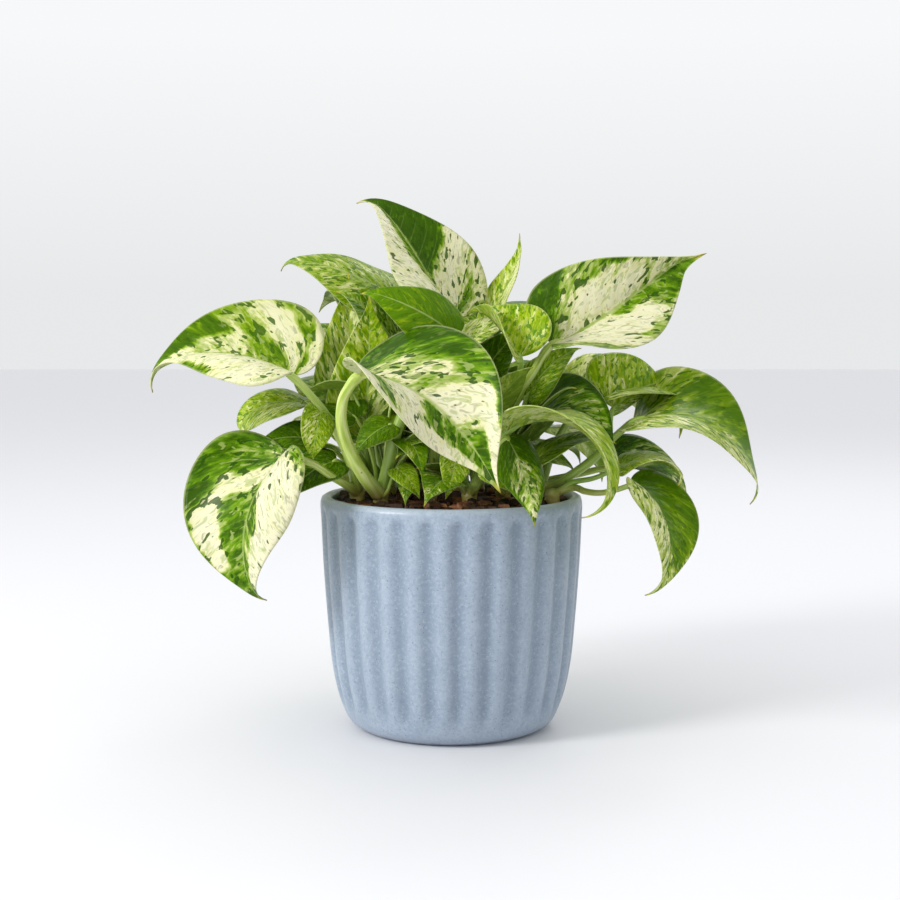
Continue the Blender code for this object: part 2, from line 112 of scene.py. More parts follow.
RIB_THICKNESS = 1.5
BLADE_SHARE = 0.3  # of that thickness, away from the midrib

# Young leaves
YOUNG_STEMS = "front_left left_inner centre front_right right_inner crown back_mid back".split()
YOUNG_PER_STEM = 7
YOUNG_SEED = 4
YOUNG_TONE = 0.5  # share of a grown leaf's tones

# How far the noise moves on from one leaf or stalk to the next
LEAF_LAYER, STALK_LAYER = 3.7, 5.1

# A leaf stands on a stem with a petiole of some radius, led through a few points to the junction with the
# blade. Heading is azimuth, elevation and roll at the junction; size is length and the widths of the left and
# right halves; the midrib bends down and sways right, evenly and then more towards the tip, ends in a hook
# and twists; each half is folded up from the midrib and curled. Places in mm, angles in degrees.
Leaf = namedtuple(
    "Leaf", "stem petiole path junction heading size bend late_bend hook sway late_sway twist fold curl",
    defaults=(60, 0, 0, 0, 0, 0, (12, 12), (-20, -20)),
)
LEAVES = {
    "front": Leaf("front_left", 3.5, [(-42, -38, 130), (-50, -50, 149), (-51, -58, 163), (-48, -62, 172)],
        (-41, -63, 179), (-12, -3, -12), (84, 1.35, 0.95), bend=45, late_bend=-35, sway=30, late_sway=10,
        twist=95, fold=(25, 10), curl=(15, -5)),
    "dark": Leaf("front_left", 3.2, [(-30, -29, 135), (-25, -31, 154), (-11, -27, 179)], (2, -20, 196),
        (-138, 33, -78), (52, 0.87, 0.85), bend=50, late_bend=5, hook=25, fold=(0, 5), curl=(-40, -30)),
    "gloss_low": Leaf("front_left", 1.5, [(-30, -30, 135)], (-29, -34, 154), (-137, -10, -34), (24, 1.0, 1.0),
        bend=70),
    "low_left": Leaf("front_left", 1.2, [(-31, -32, 121)], (-26, -34, 133), (-51, -19, 23), (20, 0.9, 0.9)),
    "left_upper": Leaf("left", 2.7, [(-48, -22, 132), (-58, -30, 155), (-67, -36, 168)], (-77, -38, 178),
        (163, 23, 23), (76, 1.2, 1.45), bend=65, late_bend=25, hook=45, sway=-10, late_sway=-10, twist=-20,
        fold=(10, 25), curl=(-75, 65)),
    "left_lower": Leaf("left", 2.4, [(-50, -22, 123), (-58, -31, 129), (-68, -36, 136)], (-80, -35, 138),
        (-157, -40, 15), (77, 1.25, 1.6), bend=85, late_bend=10, hook=10, sway=5, late_sway=-5, twist=-40,
        fold=(25, 15), curl=(-80, 30)),
    "drop": Leaf("left", 1.3, [(-53, -27, 145), (-57, -33, 157)], (-62, -40, 160), (-95, -37, -30),
        (25, 0.95, 1.0), bend=85, late_bend=-5, hook=15, sway=-15, twist=25, fold=(0, 20), curl=(-25, -5)),
    "dark_left": Leaf("left", 1.7, [(-49, -10, 129)], (-64, -6, 143), (-156, 21, -40), (34, 1.0, 1.0)),
    "under_left": Leaf("left", 1.6, [(-48, -16, 126)], (-56, -20, 135), (-141, -6, -29), (34, 1.0, 1.0),
        bend=70),
    "left_small": Leaf("left_inner", 1.9, [(-45, -6, 130), (-58, -6, 149)], (-75, 5, 162), (178, 10, -13),
        (46, 1.05, 1.05), bend=90, late_bend=10, hook=40, twist=-55, fold=(10, 10), curl=(-15, -35)),
    "centre_left": Leaf("left_inner", 2.0, [(-37, -8, 129)], (-49, -8, 152), (102, 78, -15), (75, 0.68, 0.62),
        bend=3, late_bend=-20, hook=-15, fold=(20, 15), curl=(-25, -25)),
    "centre_left_back": Leaf("left_inner", 1.9, [(-39, -12, 129)], (-42, -16, 147), (-64, 81, 165),
        (66, 0.85, 0.85), bend=20),
    "upper_left": Leaf("left_inner", 2.1, [(-37, 8, 143), (-33, 20, 182)], (-29, 23, 215), (-167, 30, -41),
        (61, 1.05, 1.0), bend=35, late_bend=10, hook=45, twist=10, fold=(5, 5), curl=(-30, -30)),
    "top": Leaf("centre", 2.6, [(-8, -26, 145), (-2, -18, 178)], (2, 5, 206), (169, 49, 8), (76, 1.2, 1.15),
        bend=10, late_bend=35, hook=35, sway=-5, late_sway=-15, twist=-30, fold=(15, 25), curl=(-50, 40)),
    "inner_pale": Leaf("centre", 1.6, [(-1, -22, 150)], (-1, -8, 186), (-32, 45, 46), (40, 0.9, 0.9),
        bend=50),
    "low_mid": Leaf("centre", 1.2, [(-3, -24, 126)], (2, -34, 138), (-90, -20, -20), (24, 0.9, 0.9), bend=70),
    "right_curl": Leaf("front_right", 2.4, [(15, -32, 132)], (28, -52, 153), (-13, 34, -7), (83, 1.0, 1.0),
        bend=160, late_bend=5, hook=20, twist=-5, fold=(15, 15), curl=(-10, -15)),
    "rim_front": Leaf("front_right", 2.0, [(15, -36, 130), (21, -50, 144)], (26, -54, 149), (-75, -19, 25),
        (49, 0.9, 0.9), bend=70, hook=10, sway=15, late_sway=5, twist=-10, fold=(-10, -30), curl=(-80, -40)),
    "low_right": Leaf("front_right", 1.2, [(13, -34, 124)], (16, -40, 133), (-34, -15, 37), (20, 0.9, 0.9)),
    "right_top": Leaf("right_inner", 2.7, [(28, -8, 139), (32, -14, 165), (39, -20, 177)], (49, -23, 192),
        (21, 17, 46), (84, 1.05, 1.2), bend=-25, late_bend=15, hook=-60, sway=-10, late_sway=20, twist=70,
        fold=(25, 45), curl=(-35, 5)),
    "upper_curled": Leaf("right_inner", 1.9, [(25, -14, 144), (30, -21, 167)], (33, -31, 186), (170, 53, -61),
        (40, 0.95, 1.5), bend=70, late_bend=30, hook=15, sway=15, late_sway=-15, twist=55, fold=(45, 35),
        curl=(25, 5)),
    "upright": Leaf("right_inner", 1.8, [(23, -6, 144), (21, 2, 175)], (20, 19, 200), (25, 72, 6),
        (48, 0.65, 0.6), bend=0, late_bend=-30, hook=-40, sway=-10, fold=(20, 15), curl=(-5, -10)),
    "right_dark": Leaf("right_inner", 2.2, [(30, -14, 132)], (37, 4, 151), (-50, 39, 23), (61, 1.1, 1.0),
        bend=95, late_bend=5, hook=10, sway=10, twist=-10, fold=(25, 10), curl=(10, -20)),
    "behind_small": Leaf("right_inner", 1.5, [(31, 0, 143)], (38, -2, 166), (-35, 59, 76), (36, 0.9, 0.9)),
    "under_right": Leaf("right_inner", 1.6, [(23, -28, 127)], (39, -30, 135), (-8, 45, 16), (42, 1.0, 1.0)),
    "right_round": Leaf("right", 1.7, [(63, -12, 129), (77, -10, 143)], (80, -6, 160), (25, 33, 58),
        (47, 1.5, 0.5), late_bend=5, sway=10, late_sway=5, twist=-5, fold=(20, -70), curl=(-15, -10)),
    "right_droop": Leaf("right", 2.6, [(59, -16, 128), (72, -14, 138), (80, -12, 146)], (90, -12, 154),
        (-28, 26, 15), (85, 1.4, 0.6), bend=105, late_bend=-30, hook=30, sway=-10, late_sway=10, twist=5,
        fold=(-10, 0), curl=(40, 0)),
    "right_lower": Leaf("right_rim", 1.9, [(59, -20, 122), (65, -28, 121), (72, -34, 121), (79, -38, 123)],
        (87, -41, 125), (-15, -28, -16), (60, 1.2, 1.1), bend=100, late_bend=-5, hook=10, sway=-5, twist=25,
        fold=(15, 20), curl=(35, -65)),
    "right_mid": Leaf("right_rim", 1.6, [(58, -20, 124), (70, -22, 127)], (83, -22, 133), (-18, 23, 11),
        (37, 1.05, 1.1), bend=90, late_bend=35, hook=30, sway=15, late_sway=-5, twist=-50, fold=(25, 15),
        curl=(-20, -50)),
    "inner_dark": Leaf("crown", 1.6, [(13, 0, 143)], (13, -2, 171), (-56, 52, 104), (38, 0.9, 0.9), bend=50),
    "grey_behind": Leaf("crown", 1.8, [(-13, 2, 143)], (-25, 8, 185), (-126, 56, -82), (46, 1.0, 1.0),
        bend=50),
}

# Leaves that the front hides stand where a full plant has them: stem, azimuth, reach, height and seed
BACK_LEAVES = [
    ("back_right", 5, 85, 130, 10), ("back_right", 50, 75, 145, 7), ("back", 75, 90, 130, 1),
    ("back_mid", 130, 75, 150, 2), ("back_left", 160, 85, 130, 30), ("right", 5, 70, 165, 46),
    ("back_right", 40, 60, 160, 3), ("back", 65, 70, 165, 46), ("back", 105, 55, 180, 2),
    ("back_mid", 135, 60, 170, 41), ("back_left", 160, 65, 185, 47), ("back_left", 165, 70, 180, 16),
    ("back", 60, 35, 200, 38), ("back_mid", 110, 35, 210, 4), ("back_left", 140, 45, 195, 1),
    ("back_mid", 100, 50, 150, 38), ("back", 85, 80, 190, 12), ("back", 90, 95, 150, 9),
]

# Marbling. A leaf has its youth, 0 grown and 1 fresh, its ground tone and, for each side of the midrib, the
# strokes that lie on the ground: from and to along it, from and to out to the margin, and tone. Places along
# are where the side veins leave the midrib, from -0.45 in the lobe through 0 at the junction to 1 at the tip.
# Tones run from 0, deep green, over 0.3, leaf green, and 0.5, grey green with flecks, to 1, cream.
LEFT, RIGHT, BOTH = -1, 1, 0
BLUR_ALONG, BLUR_OUT = 0.1, 0.16
MARBLING = {
    "front": (0, 0.5, {
        LEFT: [(-0.5, -0.1, 0, 0.6, 0.45), (-0.5, 0.12, 0.6, 1.1, 0.1), (-0.1, 0.12, 0.05, 0.6, 0.52),
            (0.1, 0.24, 0.08, 0.6, 0.72), (0.12, 0.3, 0.6, 1.1, 0.26), (0.22, 0.36, 0.1, 0.8, 0.38),
            (0.36, 0.66, 0, 0.88, 0.92), (0.5, 1, 0.4, 1.1, 0.97), (0.62, 1, 0, 0.48, 0.26),
            (0.3, 0.64, 0.86, 1.1, 0.08)],
        RIGHT: [(-0.5, 0.5, 0, 1.1, 0.97), (-0.15, 0.1, 0.45, 0.9, 0.42), (0.34, 1, 0, 0.5, 0.28),
            (0.45, 0.88, 0.52, 1.1, 0.95), (0.86, 1, 0, 1.1, 0.48)],
    }),
    "top": (0.1, 0.5, {
        LEFT: [(-0.5, 1, 0.3, 1.1, 0.85), (0.2, 1, 0, 0.34, 0.3), (-0.5, 0.2, 0, 0.35, 0.72)],
        RIGHT: [(0.27, 1, 0, 1.1, -0.05), (0.22, 0.36, 0.78, 1.1, 0.56), (-0.02, 0.27, 0.03, 1.1, 0.86),
            (-0.14, -0.02, 0.1, 1.1, 0.5), (-0.5, -0.12, 0, 0.75, 0.2), (-0.4, -0.08, 0.72, 1.1, 0.64)],
    }),
    "dark": (0.85, 0.05, {}),
    "upper_left": (0.6, 0.4, {LEFT: [(-0.2, 0.6, 0.4, 0.8, 0.5)], RIGHT: [(-0.4, 0.5, 0.1, 0.7, 0.46)]}),
    "left_upper": (0.3, 0.55, {
        LEFT: [(-0.5, 1, 0.12, 1.1, 0.88), (0.2, 0.6, 0, 0.3, 0.38), (0.1, 0.5, 0.82, 1.1, 0.3),
            (-0.5, -0.25, 0, 0.5, 0.42)],
        RIGHT: [(-0.5, -0.26, 0.2, 1.1, 0.78), (-0.27, -0.15, 0.1, 1.1, 0.34), (-0.16, 0.07, 0.2, 0.96, 0.98),
            (-0.04, 0.3, 0, 0.55, 0.32), (0.08, 0.3, 0.55, 1.1, 0.34), (0.3, 1, 0.5, 1.1, 0.06),
            (0.26, 0.6, 0.05, 0.5, 0.66), (0.6, 1, 0, 0.52, 0.8)],
    }),
    "left_lower": (0, 0.24, {
        LEFT: [(-0.5, 0.84, 0.2, 1.1, 0.95), (-0.5, -0.26, 0.4, 1.1, 0.42), (-0.2, 0.1, 0, 0.25, 0.34),
            (0.24, 0.9, 0, 0.42, 0.32), (0.84, 1, 0, 1.1, 0.45)],
        RIGHT: [(-0.3, -0.18, 0.3, 0.8, 0.5), (-0.15, 0.34, 0.78, 1.1, 0.08), (0.06, 0.24, 0.02, 0.6, 0.9),
            (0.2, 0.72, 0.42, 0.94, 0.95), (0.24, 1, 0, 0.45, 0.3), (0.7, 1, 0.4, 1.1, 0.24)],
    }),
    "left_small": (1, 0.42, {LEFT: [(-0.2, 0.5, 0.3, 0.9, 0.55)]}),
    "drop": (0.9, 0.36, {RIGHT: [(0, 0.6, 0.2, 0.8, 0.55)]}),
    "right_top": (0.05, 0.5, {
        LEFT: [(-0.5, -0.04, 0, 1.1, 0.06), (-0.05, 0.1, 0.1, 1.1, 0.5), (0.1, 0.42, 0.52, 1.1, 0.4),
            (0.08, 0.62, 0.03, 0.58, 0.9), (0.3, 0.8, 0.55, 0.9, 0.72), (0.28, 0.44, 0.84, 1.1, 0.12),
            (0.62, 1, 0, 0.9, 0.58)],
        RIGHT: [(-0.5, 0.6, 0, 1.1, 0.98), (-0.5, -0.08, 0, 1.1, 0.4), (0.35, 0.65, 0, 0.2, 0.26),
            (0.55, 1, 0, 0.92, 0.3), (0.05, 0.5, 0.7, 1.1, 0.5)],
    }),
    "upper_curled": (1, 0.42, {LEFT: [(-0.2, 0.6, 0.1, 0.7, 0.56)]}),
    "upright": (1, 0.5, {RIGHT: [(-0.3, 0.8, 0.3, 1, 0.75)]}),
    "right_dark": (0.05, 0.02, {LEFT: [(0.25, 0.85, 0.1, 0.8, 0.38)], RIGHT: [(0.1, 0.8, 0.2, 1.1, 0.5)]}),
    "right_curl": (0.95, 0.5, {LEFT: [(0.2, 1, 0.3, 1.1, 0.36)], RIGHT: [(-0.2, 0.8, 0.2, 0.9, 0.62)]}),
    "right_round": (0.85, 0.28, {BOTH: [(-0.3, 0.7, 0.2, 0.9, 0.44)]}),
    "right_droop": (0.6, 0.1, {
        LEFT: [(-0.5, -0.02, 0.25, 1.1, 0.4), (-0.5, -0.2, 0, 0.4, 0.12), (-0.06, 0.14, 0, 0.5, 0.54),
            (0.2, 0.75, 0, 0.36, 0.44)],
        RIGHT: [(-0.5, 1, 0.05, 1.1, 0.55)],
    }),
    "right_lower": (0.6, 0.1, {
        LEFT: [(0.6, 1, 0, 1.1, 0.46), (0.36, 0.6, 0.85, 1.1, 0.5)],
        RIGHT: [(-0.5, 1, 0.05, 1.1, 0.6)],
    }),
    "right_mid": (1, 0.36, {LEFT: [(0.2, 1, 0.2, 1.1, 0.58)], RIGHT: [(0.3, 1, 0.2, 1.1, 0.62)]}),
    "rim_front": (0.15, 0.12, {BOTH: [(0.3, 0.9, 0, 0.75, 0.45), (0.86, 1, 0, 1.1, 0.66)]}),
    "centre_left": (0.85, 0.45, {BOTH: [(0, 0.7, 0.2, 0.7, 0.55)]}),
    "centre_left_back": (0.85, 0.38, {RIGHT: [(0, 0.7, 0.2, 0.7, 0.55)]}),
    "inner_pale": (0.8, 0.58, {}),
    "inner_dark": (0.2, 0.12, {}),
    "behind_small": (0.6, 0.3, {}),
    "grey_behind": (0.1, 0.36, {}),
    "gloss_low": (0.5, 0.14, {}),
    "dark_left": (0.2, 0.1, {}),
    "under_left": (0.2, 0.14, {}),
    "under_right": (0.5, 0.36, {}),
    "low_left": (0.8, 0.32, {}),
    "low_mid": (0.8, 0.36, {}),
    "low_right": (0.8, 0.32, {}),
}


# Small helpers


def linear(hex_color):
    """An sRGB hex colour as linear values with alpha 1."""
    values = [int(hex_color[i:i + 2], 16) / 255 for i in (0, 2, 4)]
    return (*[v / 12.92 if v <= 0.04045 else ((v + 0.055) / 1.055) ** 2.4 for v in values], 1)


def add(tree, kind, links=None, output=None, **settings):
    """A shader node with its settings, its inputs set or linked; gives the node or its named output."""
    made = tree.nodes.new(kind)
    for name, value in settings.items():
        setattr(made, name, value)
    for key, value in (links or {}).items():
        if isinstance(value, bpy.types.NodeSocket):
            tree.links.new(value, made.inputs[key])
        else:
            made.inputs[key].default_value = value
    return made if output is None else made.outputs[output]


def calculate(tree, operation, *values):
    return add(tree, "ShaderNodeMath", dict(enumerate(values)), 0, operation=operation)


def remap(tree, value, low, high, to_low, to_high):
    """The value taken from low..high to to_low..to_high, held at both ends."""
    return add(tree, "ShaderNodeMapRange", {"Value": value, 1: low, 2: high, 3: to_low, 4: to_high}, 0)


def mix(tree, amount, under, over):
    return add(tree, "ShaderNodeMix", {0: amount, 6: under, 7: over}, 2, data_type="RGBA")


def tint(tree, color, hex_color, *amounts):
    """The hex colour laid over the other one, by an amount or by the product of two."""
    amount = amounts[0] if len(amounts) == 1 else calculate(tree, "MULTIPLY", *amounts)
    return mix(tree, amount, color, linear(hex_color))


def ramp(tree, value, *stops):
    made = add(tree, "ShaderNodeValToRGB", {"Fac": value})
    elements = made.color_ramp.elements
    for place, _ in stops[1:-1]:
        elements.new(place)
    elements[0].position, elements[-1].position = stops[0][0], stops[-1][0]
    for element, (_, color) in zip(elements, stops):
        element.color = linear(color)
    return made.outputs["Color"]


def add_noise(tree, vector, scale, detail=2.0, distortion=0.0, roughness=0.5):
    return add(tree, "ShaderNodeTexNoise", {
        "Vector": vector, "Scale": scale, "Detail": detail, "Distortion": distortion, "Roughness": roughness,
    }, "Fac")


def add_bump(tree, shader, height, strength, distance):
    bump = add(tree, "ShaderNodeBump", {"Strength": strength, "Distance": distance * MM, "Height": height})
    tree.links.new(bump.outputs["Normal"], shader.inputs["Normal"])


def attribute(tree, name):
    return add(tree, "ShaderNodeAttribute", attribute_name=name, output="Fac")


def part_of(tree, vector, axis):
    return add(tree, "ShaderNodeSeparateXYZ", {"Vector": vector}, axis)


def new_material(name):
    material = bpy.data.materials.new(name)
    material.use_nodes = True
    return material, material.node_tree, material.node_tree.nodes["Principled BSDF"]


def deselect_all():
    bpy.ops.object.select_all(action="DESELECT")


def link_object(obj):
    bpy.context.scene.collection.objects.link(obj)


def make_active(obj):
    deselect_all()
    obj.select_set(True)
    bpy.context.view_layer.objects.active = obj


def close_seams(obj, distance=0.02, outwards=True):
    """Merge the doubled points of a rolled or pinched grid, and turn a closed one's faces outwards."""
    make_active(obj)
    bpy.ops.object.mode_set(mode="EDIT")
    bpy.ops.mesh.select_all(action="SELECT")
    bpy.ops.mesh.remove_doubles(threshold=distance * MM)
    if outwards:
        bpy.ops.mesh.normals_make_consistent(inside=False)
    bpy.ops.object.mode_set(mode="OBJECT")


def mapped_grid(name, rows, columns, place):
    """A grid primitive whose points are moved to place(u, v), both 0 to 1; it keeps its UV map."""
    deselect_all()
    bpy.ops.mesh.primitive_grid_add(x_subdivisions=rows, y_subdivisions=columns, size=1)
    piece = bpy.context.object
    piece.name = name
    flat = np.empty(len(piece.data.vertices) * 3)
    piece.data.vertices.foreach_get("co", flat)
    u, v = flat[::3] + 0.5, flat[1::3] + 0.5
    piece.data.vertices.foreach_set("co", (place(u, v) * MM).ravel())
    piece.data.update()
    return piece, u, v


def set_attributes(piece, **values):
    for name, value in values.items():
        layer = piece.data.attributes.new(name, "FLOAT", "POINT")
        layer.data.foreach_set("value", np.full(len(piece.data.vertices), value, np.float32))


def join_pieces(pieces, name):
    """One smooth shaded piece of that name from one or more."""
    deselect_all()
    for piece in pieces:
        piece.select_set(True)
    bpy.context.view_layer.objects.active = pieces[0]
    if len(pieces) > 1:
        bpy.ops.object.join()
    joined = bpy.context.object
    joined.name = name
    joined.data.name = name
    make_active(joined)
    bpy.ops.object.shade_smooth()
    return joined


def dress(piece, node, material=None):
    """Give a finished piece its body and its material, and hide the imported part of the node that it stands
    for.
    """
    if material:
        piece.data.materials.clear()
        piece.data.materials.append(material)
    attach(piece, "root")
    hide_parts(node)


# Materials


def satin_glaze():
    """Satin glaze fired on stoneware: blue grey, darker in the troughs, where it pooled and as painted shade,
    and paler over the lip, where it is thin and as a painted highlight, with hairs and grit."""
    material, tree, shader = new_material("satin_glaze_on_stoneware")
    place = add(tree, "ShaderNodeTexCoord", output="Object")
    color = ramp(tree, add_noise(tree, place, 1 / (14 * MM), 3.0), (0.3, "95A4B5"), (0.7, "9FADBD"))
    # the troughs darkened: partly glaze that pooled there, partly painted shade of the flutes
    color = tint(tree, color, "708194", attribute(tree, "pool"), 0.6)
    # hairs lie where one noise crosses its middle, and a second one says which are pale and which dark;
    # real ones and grit are about 0.3 mm wide, drawn at 0.6 mm so that they show
    swirl = add_noise(tree, place, 1 / (1.4 * MM), 1.0, 1.0)
    off_middle = calculate(tree, "ABSOLUTE", calculate(tree, "SUBTRACT", swirl, 0.5))
    hair = remap(tree, off_middle, 0.01, 0.07, 1.0, 0.0)
    sort = add_noise(tree, place, 1 / (1.7 * MM), 1.0)
    color = tint(tree, color, "C3CEDA", hair, remap(tree, sort, 0.5, 0.6, 0.0, 0.3))
    color = tint(tree, color, "72829A", hair, remap(tree, sort, 0.4, 0.5, 0.5, 0.0))
    grit = add(tree, "ShaderNodeTexVoronoi", {"Vector": place, "Scale": 1 / (3.0 * MM)}, "Distance")
    color = tint(tree, color, "5E6B7D", remap(tree, grit, 0.07, 0.13, 0.7, 0.0))
    # the lip paler: partly glaze that runs thin there, partly a painted highlight along the rim
    thin_glaze_and_highlight = remap(tree, part_of(tree, place, "Z"), (LIP_TOP - 3.0) * MM, (LIP_TOP - 0.5) * MM, 0.0, 0.5)
    color = tint(tree, color, "C0CBD7", thin_glaze_and_highlight)
    tree.links.new(color, shader.inputs["Base Color"])
    skin = add_noise(tree, place, 1 / (1.6 * MM), 4.0)
    tree.links.new(remap(tree, skin, 0.3, 0.7, 0.3, 0.42), shader.inputs["Roughness"])
    add_bump(tree, shader, skin, 0.15, 0.12)
    return material


def peat_mix():
    """Damp peat between the bark: near black, crumbly and dull."""
    material, tree, shader = new_material("damp_peat")
    place = add(tree, "ShaderNodeTexCoord", output="Object")
    grain = add_noise(tree, place, 1 / (3.2 * MM), 6.0, roughness=0.7)
    color = ramp(tree, grain, (0.3, "140C07"), (0.5, "2A1A10"), (0.72, "4A3020"))
    tree.links.new(color, shader.inputs["Base Color"])
    fine = add_noise(tree, place, 1 / (0.8 * MM), 4.0)
    tree.links.new(remap(tree, fine, 0.3, 0.7, 0.65, 0.95), shader.inputs["Roughness"])
    add_bump(tree, shader, fine, 0.7, 0.5)
    return material


def pine_bark():
    """Composted pine bark, broken and sieved: chips from near black to red brown with a fibrous grain."""
    material, tree, shader = new_material("composted_pine_bark")
    place = add(tree, "ShaderNodeTexCoord", output="Object")
    grain = add_noise(tree, place, 1 / (1.1 * MM), 4.0, 1.0)
    value = calculate(tree, "MULTIPLY_ADD", grain, 0.45, attribute(tree, "shade"))
    color = ramp(tree, value, (0.15, "20140C"), (0.45, "54351F"), (0.75, "875534"), (1.0, "C08E5E"))
    tree.links.new(color, shader.inputs["Base Color"])
    shader.inputs["Roughness"].default_value = 0.7
    add_bump(tree, shader, grain, 0.6, 0.35)
    return material


def pothos_leaf(name, underside):
    """Waxy marbled leaf: deep green broken by grey green and cream that follow the side veins.

    The tone attribute says how pale the leaf is at a place. Noise drawn out along the veins breaks its
    borders into painted streaks, and flecks of the other colours lie in each.
    """
    _, tree, shader = new_material(name)
    tone, youth, draw, vein, reach, along, across = (
        attribute(tree, value) for value in ("tone", "youth", "draw", "vein", "reach", "along", "across")
    )

    def streaks(width, length, layer, detail=2.0, distortion=0.4):
        """Noise drawn out along the side veins, its cells width by length mm on the plain leaf."""
        vector = add(tree, "ShaderNodeCombineXYZ", {
            0: calculate(tree, "MULTIPLY", vein, VEIN_FIELD / width),
            1: calculate(tree, "MULTIPLY", reach, PLAIN_LENGTH / length),
            2: calculate(tree, "ADD", draw, layer),
        }, 0)
        return add_noise(tree, vector, 1.0, detail, distortion)

    def lean(value, weight, base):
        """The base, raised or lowered as the value is over or under a half."""
        return calculate(tree, "MULTIPLY_ADD", calculate(tree, "SUBTRACT", value, 0.5), weight, base)

    brush = streaks(4.0, 12.0, 0.0, 4.0, 0.8)
    bristle = streaks(2.2, 5.0, 20.0, 2.0, 0.8)
    value = lean(bristle, 0.55, lean(brush, 1.2, tone))
    grown = ramp(
        tree, value, (0.1, "335405"), (0.26, "4C7408"), (0.38, "6D9413"), (0.42, "8AA144"), (0.54, "A8B768"),
        (0.58, "BCC87E"), (0.62, "D9D7A3"), (0.95, "E0DDBB"),
    )
    young = ramp(
        tree, value, (0.08, "5A8403"), (0.28, "7E9F06"), (0.4, "9CB318"), (0.44, "A4B93C"), (0.56, "B9C65E"),
        (0.62, "D0D985"), (0.95, "E2E3B0"),
    )
    color = mix(tree, youth, grown, young)
    # within the greens: broad lighter and darker feathers
    feather = streaks(2.8, 5.0, 40.0, 3.0, 1.2)
    color = tint(tree, color, "628814", remap(tree, feather, 0.55, 0.66, 0.0, 0.4))
    color = tint(tree, color, "1E3A02", remap(tree, feather, 0.33, 0.42, 0.4, 0.0))
    # flecks: dark ones in the grey green and fewer in the cream, pale ones in the greens
    fleck = streaks(3.0, 4.2, 60.0, 1.0, 0.3)
    off_grey = calculate(tree, "ABSOLUTE", calculate(tree, "SUBTRACT", value, 0.52))
    needed = remap(tree, off_grey, 0.06, 0.3, 0.55, 0.68)
    dark_fleck = remap(tree, calculate(tree, "SUBTRACT", fleck, needed), 0.0, 0.02, 0.0, 0.9)
    color = mix(tree, dark_fleck, color, mix(tree, youth, linear("244A04"), linear("507C04")))
    pale = streaks(2.4, 5.0, 80.0, 1.0, 0.8)
    allowed = remap(tree, tone, 0.05, 0.25, 0.0, 1.0)
    color = tint(tree, color, "A3B268", remap(tree, pale, 0.63, 0.66, 0.0, 0.6), allowed)
    # midrib: a pale green line; side veins fainter
    rib = remap(tree, across, 0.012, 0.04, 0.7, 0.0)
    wave = calculate(tree, "COSINE", calculate(tree, "MULTIPLY", vein, VEINS * 2 * math.pi))
    inward = remap(tree, across, 0.3, 0.8, 1.0, 0.0)
    side_vein = calculate(tree, "MULTIPLY", remap(tree, wave, 0.94, 1.0, 0.0, 0.14), inward)
    color = tint(tree, color, "A2B566", calculate(tree, "MAXIMUM", rib, side_vein))
    # thin pale rim, and a tip that yellows and ends in a dry brown point
    color = tint(tree, color, "C0C78A", remap(tree, across, 0.97, 0.99, 0.0, 0.45))
    color = tint(tree, color, "BDB444", remap(tree, along, 0.955, 0.985, 0.0, 0.75))
    color = tint(tree, color, "94702E", remap(tree, along, 0.985, 1.0, 0.0, 0.9))
    if underside:
        color = tint(tree, color, "93A84C", 0.4)
    tree.links.new(color, shader.inputs["Base Color"])
    add_bump(tree, shader, calculate(tree, "MULTIPLY_ADD", wave, -0.35, bristle), 0.3, 0.5)
    shader.inputs["Roughness"].default_value = 0.5 if underside else 0.3
    shader.inputs["IOR"].default_value = 1.45
    shader.inputs["Specular IOR Level"].default_value = 0.08


def petiole_skin():
    """Smooth stalk: pale green with long stripes and a few corky specks, light brown at the soil."""
    _, tree, shader = new_material("petiole_skin")
    uv = add(tree, "ShaderNodeUVMap", uv_map="UVMap", output="UV")
    vector = add(tree, "ShaderNodeCombineXYZ", {
        0: calculate(tree, "MULTIPLY", part_of(tree, uv, "X"), 4.0),
        1: calculate(tree, "MULTIPLY", part_of(tree, uv, "Y"), 9.0),
        2: attribute(tree, "draw"),
    }, 0)
    stripe = add_noise(tree, vector, 1.0, 3.0, 0.3)
    color = ramp(tree, stripe, (0.3, "98B038"), (0.48, "B6CA60"), (0.6, "CDD987"), (0.75, "DEE4AA"))
    color = tint(tree, color, "7FA53A", attribute(tree, "youth"), 0.8)
    place = add(tree, "ShaderNodeTexCoord", output="Object")
    speck = add(tree, "ShaderNodeTexVoronoi", {"Vector": place, "Scale": 1 / (6.0 * MM)}, "Distance")
    color = tint(tree, color, "8E6B34", remap(tree, speck, 0.07, 0.11, 0.7, 0.0))
    foot = remap(tree, part_of(tree, place, "Z"), (SOIL_TOP + 2) * MM, (SOIL_TOP + 12) * MM, 0.7, 0.0)
    color = tint(tree, color, "AE7C4C", foot)
    tree.links.new(color, shader.inputs["Base Color"])
    shader.inputs["Roughness"].default_value = 0.42
    shader.inputs["Subsurface Weight"].default_value = 0.15
    shader.inputs["Subsurface Radius"].default_value = (0.8, 1.0, 0.3)
    shader.inputs["Subsurface Scale"].default_value = 1.2 * MM
    add_bump(tree, shader, stripe, 0.25, 0.3)


# Planter


def smooth_profile(points, steps):
    """Points spaced evenly along a smooth curve through the (radius, height) points."""
    points = np.array(points, float)
    padded = np.vstack([2 * points[0] - points[1], points, 2 * points[-1] - points[-2]])
    fine = []
    for i in range(1, len(padded) - 2):
        before, here, after, beyond = padded[i - 1:i + 3]
        reach = np.linalg.norm(after - here)
        slope_here = (after - before) / (reach + np.linalg.norm(here - before)) * reach
        slope_after = (beyond - here) / (np.linalg.norm(beyond - after) + reach) * reach
        for t in np.linspace(0, 1, 24, endpoint=False):
            fine.append(
                here * (2 * t**3 - 3 * t**2 + 1) + slope_here * (t**3 - 2 * t**2 + t)
                + after * (3 * t**2 - 2 * t**3) + slope_after * (t**3 - t**2)
            )
    return even_points(np.array([*fine, points[-1]]), steps)


